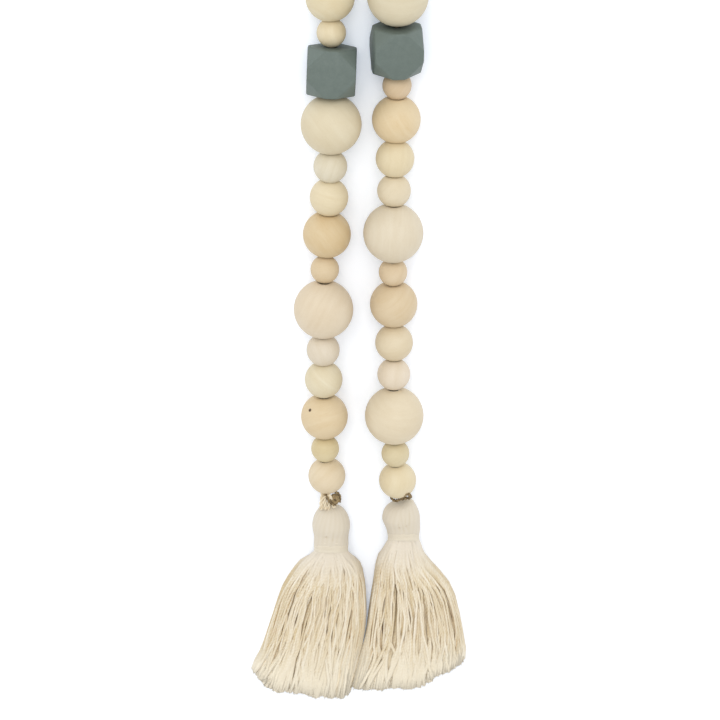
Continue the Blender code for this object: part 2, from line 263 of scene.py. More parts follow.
def sage_paint():
    """Matte sage paint on a cut bead, with painted light making the cuts paler, paler where the edges are
    rubbed, and painted shade in the bore.
    """
    made, board, shader = new_material("sage20")
    where = board.attribute("grain")
    grain = board.add("ShaderNodeGroup", {"Grain": where}, node_tree=GRAIN).outputs
    cloud = board.noise(where, 0.35, 4.0, 0.6)
    colour = board.mix(board.spread(cloud, 0.3, 0.7), linear(SAGE_DARK), linear(SAGE_LIGHT))
    worn = board.spread(board.noise(where, 1.4), 0.4, 0.65)
    masks = (
        board.attribute("lit_cut", "Fac"),
        board.math("MULTIPLY", board.attribute("edge", "Fac"), worn),
        board.attribute("bore", "Fac"),
    )
    for mask, (amount, other) in zip(masks, (SAGE_CUT_PAINTED_LIGHT, SAGE_RUBBED, SAGE_BORE_SHADE)):
        colour = board.mix(board.math("MULTIPLY", mask, amount), colour, linear(other))
    bristle = board.noise(board.vectors("MULTIPLY", where, (0.6, 3.4, 0.6)), 1.0, 3.0)
    height = board.math("ADD", board.math("MULTIPLY", grain["Height"], 0.5), bristle)
    board.fill(shader, {
        "Base Color": colour,
        "Roughness": board.spread(cloud, 0.3, 0.7, 0.66, 0.56),
        "Normal": board.bump(height, 0.1, 0.0001),
    })
    return made


# Yarns: the colour of their plies and the darker one between them, which is painted shade in the grooves and
# also each strand's darker tone, and the millimetres of one turn
Yarn = namedtuple("Yarn", "light dark pitch plies relief sheen")
YARNS = {
    "cotton": Yarn((241, 232, 213), (209, 188, 146), 1.7, 2.0, 0.2, 0.2),
    "cotton_laid": Yarn((213, 204, 188), (206, 195, 174), 6.0, 1.0, 0.1, 0.15),
    "cotton_thread": Yarn((224, 215, 197), (218, 208, 187), 1.3, 2.0, 0.1, 0.15),
    "cotton_cord": Yarn((234, 222, 197), (219, 203, 172), 6.0, 1.0, 0.1, 0.15),
    "twine": Yarn((168, 146, 108), (70, 55, 36), 2.4, 1.0, 0.6, 0.1),
}
LAY_CONTRAST = 0.3  # how much of the step from dark to light the plies take up, and their fibres as much
COTTON_LOOSE_PAINTED_LIGHT = (243, 233, 211)  # painted light: a pale colour on loose fibres near the neck and at the frayed ends, where light passes through them
COTTON_CREVICE_SHADE = (213, 182, 132)  # painted shade: a warm darker colour on the sides of yarns that face into the bunch, where shade falls between strands
COTTON_NECK = (229, 219, 203)  # the greyer colour of cotton drawn tight below a binding
CRIMP = 0.1  # how much a skirt's yarn goes lighter and darker along its length
# How far a strand takes the light as its whole bunch does, where its fibres are shut and where loose
BUNCH_LIGHT = (0.5, 0.95)
CREVICE_SHADE_SHOWS = (0.8, 0.1)  # how much of the warm painted shade shows, where the fibres are shut and where loose


def crimped(board, along, tone):
    """Lighter and darker stretches along each yarn, different for each tone."""
    where = board.add("ShaderNodeCombineXYZ", {"X": along, "Y": board.math("MULTIPLY", tone, 90.0)})
    return board.spread(board.noise(where.outputs[0], 0.3, 2.0), 0.35, 0.65, -CRIMP, CRIMP)


def in_bunch(board, colour):
    """The colour and the normals of a strand in a thick bunch, which lets light through to its neighbours:
    painted shade on its sides that face into the bunch, and painted light on its loose fibres.
    """
    loose, bunch = board.attribute("loose", "Fac"), board.attribute("bunch")
    normal = board.add("ShaderNodeNewGeometry").outputs["Normal"]
    facing = board.vectors("DOT_PRODUCT", normal, bunch, "Value")
    # Painted light: loose fibres are painted paler.
    colour = board.mix(loose, colour, linear(COTTON_LOOSE_PAINTED_LIGHT))
    crevice_shade_share = board.spread(loose, 0.0, 1.0, *CREVICE_SHADE_SHOWS)
    crevice_shade = board.math("MULTIPLY", board.spread(facing, 0.35, -0.3), crevice_shade_share)
    colour = board.mix(crevice_shade, colour, linear(COTTON_CREVICE_SHADE))
    colour = board.mix(board.attribute("neck", "Fac"), colour, linear(COTTON_NECK))
    share = board.spread(loose, 0.0, 1.0, *BUNCH_LIGHT)
    share = board.math("MULTIPLY", share, board.spread(facing, 0.0, 0.4))
    lean = board.vectors("SCALE", board.vectors("SUBTRACT", bunch, normal), Scale=share)
    return colour, board.vectors("NORMALIZE", board.vectors("ADD", normal, lean))


def yarn(name):
    """Twisted yarn or twine, with painted shade darker between its plies, each strand a little different."""
    look = YARNS[name]
    made, board, shader = new_material(name)
    lay = board.add("ShaderNodeGroup", {"Pitch": look.pitch, "Plies": look.plies}, node_tree=LAY).outputs
    tone = board.attribute("tone", "Fac")
    # Painted shade: the grooves between the plies take the darker colour.
    share = board.math("MULTIPLY", board.math("ADD", lay["Ply"], lay["Fibre"]), LAY_CONTRAST)
    if name == "cotton":
        share = board.math("ADD", share, crimped(board, lay["Along"], tone))
    share = board.math("ADD", share, board.math("SUBTRACT", tone, 0.3), clamp=True)
    colour, normal = board.mix(share, linear(look.dark), linear(look.light)), None
    if name == "cotton":
        colour, normal = in_bunch(board, colour)
    height = board.math("ADD", lay["Ply"], board.math("MULTIPLY", lay["Fibre"], 0.6))
    board.fill(shader, {
        "Base Color": colour, "Roughness": 0.9, "Specular IOR Level": 0.2,
        "Sheen Weight": look.sheen, "Sheen Roughness": 0.5,
        "Normal": board.bump(height, look.relief, 0.0002, normal),
    })
    return made


def linked(name, data):
    """A new object with this data, in the scene."""
    thing = bpy.data.objects.new(name, data)
    bpy.context.scene.collection.objects.link(thing)
    return thing


def finish_piece(mesh, material, node):
    """Puts a finished mesh in the scene, under its own name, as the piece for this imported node."""
    piece = linked(mesh.name, mesh)
    mesh.materials.append(material)
    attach(piece, "root")
    if node:
        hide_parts(node)


def put_attribute(mesh, name, kind, values):
    """Stores a value for each point of the mesh."""
    key = {"FLOAT": "value", "FLOAT_VECTOR": "vector", "FLOAT_COLOR": "color"}[kind]
    mesh.attributes.new(name, kind, "POINT").data.foreach_set(key, np.asarray(values, np.float32).ravel())


def points_of(mesh):
    spots = np.empty(len(mesh.vertices) * 3)
    mesh.vertices.foreach_get("co", spots)
    return spots.reshape(-1, 3)


def move_points(mesh, spots, origin=(0, 0, 0)):
    """Moves a mesh's points to these places, in millimetres from an origin in metres."""
    mesh.vertices.foreach_set("co", (spots * MM + np.array(origin)).ravel())
    mesh.update()


def mesh_of(bm, name, sharp=None):
    """A smooth-shaded mesh from a finished bmesh."""
    mesh = bpy.data.meshes.new(name)
    bm.to_mesh(mesh)
    bm.free()
    mesh.shade_smooth()
    if sharp:
        mesh.set_sharp_from_angle(angle=math.radians(sharp))
    return mesh


def spun(outline, steps, closed):
    """An outline of distances from the y axis and places along it, turned once round."""
    bm = bmesh.new()
    corners = [bm.verts.new((r, y, 0)) for r, y in outline]
    following = corners[1:] + corners[:1] if closed else corners[1:]
    edges = [bm.edges.new(pair) for pair in zip(corners, following)]
    bmesh.ops.spin(
        bm, geom=corners + edges, cent=(0, 0, 0), axis=(0, 1, 0),
        angle=math.tau, steps=steps, use_merge=True,
    )
    return bm


BEAD_NODES = sorted(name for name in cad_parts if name.startswith("bead_"))


def string_ways():
    """Which way the string runs at each bead, from the beads on either side."""
    middles = [np.mean(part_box(name), axis=0) for name in BEAD_NODES]
    last = len(middles) - 1
    return {
        name: middles[min(i + 1, last)] - middles[max(i - 1, 0)] for i, name in enumerate(BEAD_NODES)
    }


STRING_WAY = string_ways()
Bore = namedtuple("Bore", "middle axis half")


def bore_line(node):
    """The middle and half length of a bead's bore, in millimetres, from the ring of points at each mouth."""
    spots = np.unique(np.round(points_of(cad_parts[node].data) / MM, 4), axis=0)
    middle = (spots.min(axis=0) + spots.max(axis=0)) / 2
    away = np.linalg.norm(spots - middle, axis=1)
    mouths = spots[away < away.min() * 1.025]
    middle = mouths.mean(axis=0)
    axis = np.linalg.svd(mouths - middle)[2][0]
    if axis @ np.array(STRING_WAY[node]) < 0:
        axis = -axis
    half = np.abs((mouths - middle) @ axis).mean()
    return Bore(Vector(middle), Vector(axis), float(half))


BORES = {name: bore_line(name) for name in BEAD_NODES}
WIDTHS = {"wood25": 25, "wood20": 20, "wood16": 16, "wood14": 14, "wood12": 12, "sage20": 20}
MOST_CLOSED = 0.4  # the most that a flat is moved out towards its neighbour
TOUCH = 0.05  # half of what is left between two strung beads
BORE_RADIUS = 1.9
LIP = 0.4  # rounding of a bore's mouth and of the flat round it
# Half a bore's mouth: how far out from the bore's wall, and how far in from the bead's flat
MOUTH = ((0.0, LIP * 2), (0.12, LIP * 0.7), (0.45, 0.06), (0.8, 0.0))
# Painted shade: darker colour in each bead's bore and round its mouth, fading out from the bore's wall.
BORE_SHADE_REACH = (0.2, 0.9)  # how far out from the bore its shade starts to fade, and where it ends
BEAD_STEPS = 48
ARC_STEPS = 10


def parts_of(node):
    """A bead's number along the string and its kind, from its node's name."""
    _, number, kind = node.split("_")
    return int(number), kind


def bead_ends(node):
    """How far a bead's two flats lie from its middle, its start's first, nearly touching its neighbours."""
    here = BEAD_NODES.index(node)
    middle, axis, half = BORES[node]
    ends = []
    for step in (-1, 1):
        reach = half
        if 0 <= here + step < len(BEAD_NODES):
            other = BORES[BEAD_NODES[here + step]]
            gap = ((other.middle - step * other.axis * other.half) - (middle + step * axis * half)).length
            rim = (WIDTHS[parts_of(node)[1]] / 2) ** 2 - half ** 2
            lost = math.sqrt(max(rim, 0)) * math.tan(axis.angle(other.axis) / 2)
            reach += min(MOST_CLOSED, max(0.0, gap / 2 - TOUCH - lost))
        ends.append(reach)
    return ends


def bead_frame(axis, roll):
    """A bead's own directions: across and level, along the string, and up. roll turns it about the string."""
    side = axis.cross(Vector((0, 0, 1))).normalized()
    placed = Matrix((side, axis, side.cross(axis))).transposed()
    return placed @ Matrix.Rotation(roll, 3, "Y")


def place_bead(mesh, node, roll, swing, rng):
    """Moves a bead's mesh from its own frame to its place, and stores its grain and where its bore's painted
    shade lies.
    """
    bore = BORES[node]
    middle = bore.middle + bore.axis * SLID.get(parts_of(node)[0], 0.0)
    axis = Matrix.Rotation(swing, 3, "Z") @ bore.axis
    own = points_of(mesh)
    turn = Matrix.Rotation(rng.uniform(0, math.tau), 3, "Y")
    tilt = turn @ Matrix.Rotation(rng.uniform(0.1, 0.6), 3, "X") @ Matrix.Rotation(math.pi / 2, 3, "X")
    shift = np.array([rng.uniform(-200, 200) for _ in range(3)])
    put_attribute(mesh, "grain", "FLOAT_VECTOR", own @ np.array(tilt.transposed()) + shift)
    # Marks where the bore's painted shade darkens the colour.
    outside = np.hypot(own[:, 0], own[:, 2]) - BORE_RADIUS
    put_attribute(mesh, "bore", "FLOAT", np.interp(outside, BORE_SHADE_REACH, (1, 0)))
    move_points(mesh, own @ np.array(bead_frame(axis, roll).transposed()) + np.array(middle))


# By a bead's number: what its colour is multiplied by, where it stands out from its kind in the photo
STAINS = {
    2: (0.97, 0.985, 0.92), 3: (1.0, 0.985, 0.95), 4: (1.0, 1.02, 1.07),
    5: (0.995, 0.975, 1.04), 7: (0.99, 0.955, 0.95), 8: (0.93, 0.87, 0.81),
    10: (0.95, 0.98, 0.96), 11: (0.955, 0.97, 0.965), 13: (1.04, 1.10, 1.11),
    14: (1.0, 1.04, 1.07), 33: (0.94, 0.96, 0.965), 35: (0.92, 0.88, 0.86),
    36: (1.0, 0.965, 0.95), 37: (1.0, 0.985, 0.985), 38: (1.0, 0.96, 0.92),
    39: (1.0, 1.0, 1.07), 41: (0.96, 0.93, 0.93), 42: (0.96, 0.94, 0.965),
    45: (0.975, 1.03, 1.02),
}
# By a bead's number: how far it has slid along the twine towards the right tassel
SLID = {4: 0.35, 7: -0.4, 12: -0.3, 13: -0.4, 14: -0.4, 33: 0.5, 34: 0.4}


def bead_profile(ball, reach):
    """Half of a ball's outline, from the bore to the waist: distance from the bore's axis, place along it."""
    flat = math.sqrt(ball ** 2 - reach ** 2)
    start = math.atan2(flat, reach) + LIP / ball
    mouth = [(BORE_RADIUS + out, reach - deep) for out, deep in MOUTH] + [(flat - LIP * 0.6, reach)]
    arc = [start + (math.pi / 2 - start) * i / ARC_STEPS for i in range(ARC_STEPS + 1)]
    return mouth + [(ball * math.sin(a), ball * math.cos(a)) for a in arc]


def make_wood_beads():
    """Each round bead as a sanded ball with a drilled bore, small flats at its ends and its own grain."""
    rng = random.Random(25)
    materials = {kind: wood(kind, *pair) for kind, pair in WOODS.items()}
    speck = (BORES[WOOD_KNOT_BEAD].middle + Vector(WOOD_KNOT_PLACE)) * MM
    knotted = wood("wood20_with_knot", *WOODS["wood20"], speck=speck)
    for node in BEAD_NODES:
        number, kind = parts_of(node)
        if kind not in WOODS:
            continue
        ball = WIDTHS[kind] / 2
        low_end, high_end = bead_ends(node)
        profile = bead_profile(ball, high_end)
        profile += [(r, -y) for r, y in reversed(bead_profile(ball, low_end)[:-1])]
        bm = spun(profile, BEAD_STEPS, closed=True)
        bmesh.ops.recalc_face_normals(bm, faces=bm.faces)
        mesh = mesh_of(bm, f"sanded_{node}")
        place_bead(mesh, node, 0.0, 0.0, rng)
        plain = [1 + rng.uniform(-0.02, 0.015) for _ in range(3)]
        stain = [a * b for a, b in zip(STAINS.get(number, (1, 1, 1)), plain)]
        put_attribute(mesh, "stain", "FLOAT_COLOR", [(*stain, 1.0)] * len(mesh.vertices))
        material = knotted if node == WOOD_KNOT_BEAD else materials[kind]
        finish_piece(mesh, material, node)


# How each painted bead is rolled about the string, and swung across it, in degrees
SAGE_TURNS = {"bead_12_sage20": (0.0, -2.2), "bead_23_sage20": (3.0, 0.0), "bead_34_sage20": (-6.5, -1.8)}
SAGE_ACROSS = 20.0
SAGE_CORNER = 0.22  # what the cut corners leave of an edge, as a share of it
SAGE_EDGE = 0.8  # width of the softened edges
SAGE_MOUTH = 0.25  # how much wider than the bore its mouth is
RUBBED_MARK = (0.9, 1.0)  # shares of the way out, on two axes, between which an edge counts as rubbed
END_AREA, CUT_AREA = 50, 20  # an end and a cut corner each have more than this area


def cut_cube(half):
    """A cube with its corners cut away and its edges softened, of this half length along its bore."""
    bm = bmesh.new()
    bmesh.ops.create_cube(bm, size=SAGE_ACROSS)
    bmesh.ops.bevel(
        bm, geom=bm.verts[:], affect="VERTICES", offset=SAGE_ACROSS / 2 * (1 - SAGE_CORNER),
        offset_type="OFFSET", segments=1, profile=0.5, material=-1,
    )
    bmesh.ops.remove_doubles(bm, verts=bm.verts, dist=0.01)
    bmesh.ops.scale(bm, vec=(1, 2 * half / SAGE_ACROSS, 1), verts=bm.verts)
    bmesh.ops.bevel(
        bm, geom=bm.edges[:], affect="EDGES", offset=SAGE_EDGE,
        offset_type="OFFSET", segments=3, profile=0.5, material=-1,
    )
    return bm


def drill(bm):
    """Opens a round bore from end to end, with a softened mouth at each."""
    ends = [face for face in bm.faces if abs(face.normal.y) > 0.99 and face.calc_area() > END_AREA]
    for face in ends:
        bmesh.ops.inset_individual(bm, faces=[face], thickness=1.0)
    bmesh.ops.subdivide_edges(bm, edges=list({edge for face in ends for edge in face.edges}), cuts=3)
    for vert in {vert for face in ends for vert in face.verts}:
        across = Vector((vert.co.x, 0, vert.co.z)).normalized() * (BORE_RADIUS + SAGE_MOUTH)
        vert.co = Vector((across.x, vert.co.y, across.z))
    for face in ends:
        bmesh.ops.inset_individual(bm, faces=[face], thickness=SAGE_MOUTH, depth=-0.3)
    mouths = [edge for face in ends for edge in face.edges]
    bmesh.ops.delete(bm, geom=ends, context="FACES_ONLY")
    bmesh.ops.bridge_loops(bm, edges=mouths)
    bmesh.ops.recalc_face_normals(bm, faces=bm.faces)
    bm.verts.index_update()


def make_sage_beads():
    """Each painted bead, with marks on its cut corners for their painted light and along its edges for the
    rubbed paint.
    """
    rng = random.Random(12)
    paint = sage_paint()
    for node, (roll, swing) in SAGE_TURNS.items():
        half = BORES[node].half
        bm = cut_cube(half)
        drill(bm)
        cuts = [
            face for face in bm.faces
            if face.calc_area() > CUT_AREA and min(map(abs, face.normal)) > 0.4
        ]
        # Painted light: the cut corners are marked so that their paint is made paler.
        lit_cut_points = np.zeros(len(bm.verts))
        lit_cut_points[[vert.index for face in cuts for vert in face.verts]] = 1
        mesh = mesh_of(bm, f"painted_{node}", sharp=35)
        put_attribute(mesh, "lit_cut", "FLOAT", lit_cut_points)
        away = np.abs(points_of(mesh)) / np.array([SAGE_ACROSS / 2, half, SAGE_ACROSS / 2])
        second = np.sort(away, axis=1)[:, 1]
        put_attribute(mesh, "edge", "FLOAT", np.interp(second, RUBBED_MARK, (0, 1)))
        place_bead(mesh, node, math.radians(roll), math.radians(swing), rng)
        finish_piece(mesh, paint, node)


def smooth_line(points, steps):
    """Points of a smooth curve that passes through all of these points."""
    rows = [np.array(point, float) for point in points]
    rows = [2 * rows[0] - rows[1]] + rows + [2 * rows[-1] - rows[-2]]
    line = []
    for before, start, end, after in zip(rows, rows[1:], rows[2:], rows[3:]):
        for t in np.arange(steps) / steps:
            line.append(
                0.5 * (2 * start + (end - before) * t
                       + (2 * before - 5 * start + 4 * end - after) * t ** 2
                       + (3 * start - before - 3 * end + after) * t ** 3)
            )
    return np.array(line + [rows[-2]])


def evenly(line, step):
    """The same line with points about this far apart, and the distance along it."""
    run = np.concatenate([[0], np.cumsum(np.linalg.norm(np.diff(line, axis=0), axis=1))])
    along = np.linspace(0, run[-1], max(4, round(run[-1] / step)))
    return np.stack([np.interp(along, run, line[:, axis]) for axis in range(3)], axis=1), along


def unit(vectors):
    """The same vectors, each one long."""
    return vectors / np.linalg.norm(vectors, axis=-1, keepdims=True)


def carried_frames(line):
    """Two directions across a line at each of its points, carried along it without twist."""
    ways = unit(np.gradient(line, axis=0))
    side = np.cross(ways[0], [0.31, 0.12, 0.94])
    sides = []
    for way in ways:
        side = unit(side - way * (side @ way))
        sides.append(side)
    sides = np.array(sides)
    return sides, np.cross(ways, sides)


def strands(name, lines, radii, sides, frames, tones, loose=None, bunch=None, neck=None):
    """One mesh of many strands, grown together from their first rings.

    For each ring of each strand, lines holds its middle in millimetres and radii its size. For each
    strand, tones holds a shade and bunch which way its bunch faces there. For each ring, loose holds
    how far the fibres have opened and neck how tight a binding draws them.
    """
    count, stations = radii.shape
    bm = bmesh.new()
    for index in range(count):
        bmesh.ops.create_circle(
            bm, cap_ends=True, segments=sides, radius=0.25, matrix=Matrix.Translation((index, 0, 0)),
        )
    caps = bm.faces[:]
    for _ in range(stations - 1):
        caps = bmesh.ops.extrude_discrete_faces(bm, faces=caps)["faces"]
        bmesh.ops.translate(bm, vec=(0, 0, 1), verts=[vert for face in caps for vert in face.verts])
    mesh = mesh_of(bm, name)
    own = points_of(mesh)
    strand = np.clip(np.round(own[:, 0]).astype(int), 0, count - 1)
    station = np.clip(np.round(own[:, 2]).astype(int), 0, stations - 1)
    angle = np.arctan2(own[:, 1], own[:, 0] - strand)
    across, up = frames
    steps = np.linalg.norm(np.diff(lines, axis=1), axis=2)
    along = np.concatenate([np.zeros((count, 1)), np.cumsum(steps, axis=1)], axis=1)
    out = np.cos(angle)[:, None] * across[strand, station] + np.sin(angle)[:, None] * up[strand, station]
    placed = lines[strand, station] + out * radii[strand, station][:, None]
    move_points(mesh, placed, PHOTO)
    lay = np.stack([np.cos(angle), np.sin(angle), along[strand, station]], axis=1)
    put_attribute(mesh, "lay", "FLOAT_VECTOR", lay)
    put_attribute(mesh, "tone", "FLOAT", np.asarray(tones)[strand])
    for label, values in (("loose", loose), ("neck", neck)):
        rings = np.zeros(stations) if values is None else np.asarray(values)
        put_attribute(mesh, label, "FLOAT", rings[station])
    facing = np.tile([0.0, 0.0, 1.0], (count, 1)) if bunch is None else bunch
    put_attribute(mesh, "bunch", "FLOAT_VECTOR", facing[strand])
    return mesh


PLY_SIZES = {2: 0.54, 3: 0.47}  # radius of a ply as a share of its cord's, for this many plies


def twisted(name, line, radius, pitch, plies, rng, step=0.45, sides=6, paler=0.0):
    """A cord of this radius, in the photograph's frame, made of plies laid round each other."""
    path, along = evenly(line, step)
    across, up = carried_frames(path)
    ply = radius * PLY_SIZES[plies]
    lines = []
    for index in range(plies):
        phase = math.tau * (index / plies) + along / pitch * math.tau
        offset = np.cos(phase)[:, None] * across + np.sin(phase)[:, None] * up
        lines.append(path + offset * (radius - ply))
    lines = np.array(lines)
    frames = [np.repeat(part[None], plies, axis=0) for part in (across, up)]
    radii = np.full(lines.shape[:2], ply)
    radii[:, [0, -1]] *= 0.6
    tones = [rng.uniform(0.3, 0.7) + paler for _ in range(plies)]
    return strands(name, lines, radii, sides, frames, tones)


def joined(name, meshes):
    """Several meshes as one."""
    bm = bmesh.new()
    for mesh in meshes:
        bm.from_mesh(mesh)
        bpy.data.meshes.remove(mesh)
    return mesh_of(bm, name)


# Tassels, in the photograph's frame: x of the middle, y of the crown and of the neck's end, and the
# points of the cut ends. Skirt sections: y, left and right edge, thickness, and height above the floor
Section = namedtuple("Section", "y left right thick lift")
Tassel = namedtuple("Tassel", "middle crown neck_end neck_radius sections tips seed")
TASSELS = {
    "left": Tassel(
        -12.6, -64.6, -88.0, 6.9,
        (
            Section(-95.5, -26.4, -0.3, 14.0, 0.7),
            Section(-110.0, -35.0, 2.2, 12.5, 0.0),
            Section(-133.0, -41.6, 0.8, 9.6, 0.0),
        ),
        (
            (-47.4, -149.5), (-42.6, -155.0), (-36.8, -159.2), (-26.4, -158.0),
            (-21.0, -161.2), (-16.4, -159.8), (-10.0, -162.6), (-5.2, -161.0),
        ),
        4,
    ),
    "right": Tassel(
        18.9, -62.4, -82.0, 6.1,
        (
            Section(-92.0, 8.4, 28.7, 14.0, 0.7),
            Section(-108.0, 5.6, 40.4, 12.5, 0.0),
            Section(-132.0, 2.2, 45.8, 9.6, 0.0),
        ),
        (
            (-3.6, -157.2), (4.0, -158.4), (12.0, -157.0), (20.0, -156.7),
            (26.5, -156.0), (33.0, -151.2), (39.5, -148.6), (45.8, -144.4),
        ),
        9,
    ),
}
# Neck bindings: y of the middle, length along the neck, outer radius, and how far up the turns slope
Binding = namedtuple("Binding", "middle length radius slope")
BINDINGS = {"left": Binding(-84.6, 5.0, 7.5, 2.9), "right": Binding(-79.7, 3.8, 6.9, 2.9)}
HEAD_RADIUS = 8.2
HEAD_HEIGHT = 8.0  # height of a head's axis above the floor
TIP_THICK = 6.6  # thickness of a skirt at its cut ends
EDGE_THIN = 0.42  # a skirt's thickness at its sides, as a share of the middle's

YARN_COLUMNS, YARN_LAYERS = 54, 8
YARN_SIDES = 4
YARN_RADIUS = 0.50
LOOSE_FIBRES = 5
LOOSE_LENGTH = (2.5, 4.5)
LOOSE_SPREAD = (0.12, 0.05, 0.06)  # how far fibres open across, along and up, as shares of their length
LOOSE_RADII = (0.2, 0.22, 0.12)  # at the start, the middle and the tip of a fibre
# Where along a yarn its rings lie, closer together below the neck
YARN_SHARES = np.concatenate([[0.0, 0.07, 0.14], np.linspace(0.2, 1.0, 14)])
# Along a yarn: how thick it is, how loose its fibres are, and how tight the binding draws it
YARN_THICKNESS = ((0, 0.16, 0.26, 0.4, 0.55, 0.78, 0.9, 0.97, 1), (0.8, 0.9, 1.5, 1.3, 1, 1, 1.6, 2.1, 1.6))
YARN_LOOSENESS = ((0, 0.25, 0.38, 0.5, 0.78, 0.92, 1), (0.4, 0.4, 0.3, 0, 0, 0.75, 0.95))
YARN_TIGHTNESS = ((0, 0.28, 0.36, 0.5), (0.8, 0.8, 0.5, 0))
SKIRT_WIDTHS = ((0, 0.3, 0.6, 1), (10, 28, 36, 45))  # how wide the skirt is, along its yarns
UNDER_BINDING = (4.5, 1.0)  # how far above the neck's end the yarns' first two points lie

# Where yarns part and the ones below show: x and y of the upper end and of the lower, and how wide it is
PARTINGS = {
    "left": (
        (-23.0, -99.7, -22.2, -108.6, 0.27), (-22.1, -112.0, -22.6, -134.3, 0.75),
        (-24.2, -122.8, -24.6, -140.2, 0.6), (-9.2, -102.7, -8.6, -111.0, 0.27),
        (-4.8, -110.0, -4.2, -126.3, 0.24), (-16.3, -129.7, -16.2, -140.2, 0.30),
        (-15.2, -140.7, -15.6, -149.3, 0.24), (-12.7, -113.0, -12.5, -123.3, 0.24),
    ),
    "right": (
        (22.8, -100.7, 23.7, -108.6, 0.36), (21.1, -109.0, 23.1, -128.3, 0.48),
        (12.3, -116.9, 11.2, -139.2, 0.42), (18.7, -109.0, 19.2, -125.3, 0.24),
        (35.9, -119.9, 36.7, -129.3, 0.36), (29.5, -121.8, 30.3, -132.3, 0.36),
        (31.8, -107.1, 33.5, -115.9, 0.24), (15.6, -111.0, 14.8, -122.8, 0.21),
        (26.5, -129.7, 27.0, -139.2, 0.24),
    ),
}
PARTING_EDGE, PARTING_REACH = 0.3, 2.2  # from where on yarns part fully, and how far out they give way

# A lock is a bunch of yarns that hang together: where it lies across the skirt, how far its yarns
# draw in, how far it leans at half height and at its end, and how much shorter it is cut
Lock = namedtuple("Lock", "start end draw lean end_lean short")
LOCK_YARNS = (2.2, 6.0)  # how many yarns wide it is
LOCK_DRAW = (0.05, 0.22)
LOCK_LEAN, LOCK_END_LEAN = 0.6, 0.8
LOCK_SHORT = (-0.3, 1.5)
LAYER_LOCKS = (0, 0, 1, 1, 1, 2, 2, 2)  # which of the three sets of locks each layer follows

# Waves of a yarn: their sizes in millimetres, and their radians from the neck to the tip
Wave = namedtuple("Wave", "sizes radians")
SLOW_WAVE = Wave((0.3, 0.95), (9, 15))
QUICK_WAVE = Wave((0.3, 0.75), (19, 31))
LIFT_WAVE = Wave((0.2, 0.6), (12, 24))


def cut_locks(rng):
    """The locks that lie side by side across a skirt."""
    locks, start = [], 0.0
    while start < 0.97:
        width = rng.uniform(*LOCK_YARNS) / YARN_COLUMNS
        locks.append(Lock(
            start, start + width, rng.uniform(*LOCK_DRAW), rng.gauss(0, LOCK_LEAN),
            rng.gauss(0, LOCK_END_LEAN), rng.uniform(*LOCK_SHORT),
        ))
        start += width
    return locks


def eased(values, start, end):
    """0 before start, 1 after end, and smooth between."""
    share = np.clip((values - start) / (end - start), 0, 1)
    return share * share * (3 - 2 * share)


def rises_and_falls(values, start, risen, falls, end):
    """0 before start, 1 between risen and falls, 0 after end, and smooth between."""
    return eased(values, start, risen) * (1 - eased(values, falls, end))


def part_yarns(line, partings, top):
    """Moves a yarn aside at each parting that it would cross, the ones on top most."""
    for x, y, end_x, end_y, wide in partings:
        run = (line[:, 1] - y) / (end_y - y)
        away = line[:, 0] - (x + (end_x - x) * run)
        push = np.tanh(away / PARTING_EDGE) * np.exp(-(away / PARTING_REACH) ** 2) * wide * top
        line[:, 0] += push * rises_and_falls(run, -0.35, 0.3, 0.7, 1.35)


def yarn_path(tassel, slope, u, v, from_middle, short, strays, rng):
    """A yarn's line from under the binding through each section to its cut end."""
    across, level = 2 * u - 1, 2 * v - 1
    high = 1 - (1 - v) ** 1.7
    x = tassel.middle + tassel.neck_radius * across * math.sqrt(1 - level ** 2 / 2)
    z = HEAD_HEIGHT + tassel.neck_radius * level * math.sqrt(1 - across ** 2 / 2)
    start = tassel.neck_end + slope * level
    rows = [(x, start + above, z) for above in UNDER_BINDING]
    crown = EDGE_THIN + (1 - EDGE_THIN) * math.sin(math.pi * u) ** 0.8
    for section in tassel.sections:
        x = section.left + (section.right - section.left) * u
        z = section.lift + YARN_RADIUS + (section.thick * crown - 2 * YARN_RADIUS) * high
        rows.append((x, section.y, z))
    end = min(max(u + rng.gauss(0, 0.08), 0.03), 0.97) if strays else u
    stops = np.linspace(0, 1, len(tassel.tips))
    x, y = (float(np.interp(end, stops, places)) for places in zip(*tassel.tips))
    y += short + rng.uniform(0.2, 0.6) + 0.8 * from_middle ** 2 + abs(v - 0.5)
    z = YARN_RADIUS + (TIP_THICK * crown - 2 * YARN_RADIUS) * high * rng.uniform(0.9, 1.0)
    line = smooth_line(rows + [(x, y, z)], 8)
    spots = YARN_SHARES * (len(line) - 1)
    return np.stack([np.interp(spots, np.arange(len(line)), line[:, i]) for i in range(3)], axis=1)


def follow_lock(line, lock, u, v, inside, from_middle, rng):
    """Draws a yarn towards its lock's middle, leans it with the lock, and rounds the lock's top."""
    share = YARN_SHARES
    drawn = lock.draw * rng.uniform(0.7, 1.2) * eased(share, 0.25, 0.6) * (1 - 0.8 * eased(share, 0.7, 0.95))
    line[:, 0] += ((lock.start + lock.end) / 2 - u) * np.interp(share, *SKIRT_WIDTHS) * drawn
    line[:, 0] += (lock.lean * eased(share, 0.25, 0.7) + lock.end_lean * eased(share, 0.6, 1.0)) * inside
    line[:, 2] -= 0.6 * v * from_middle ** 2 * rises_and_falls(share, 0.2, 0.55, 0.7, 0.9)


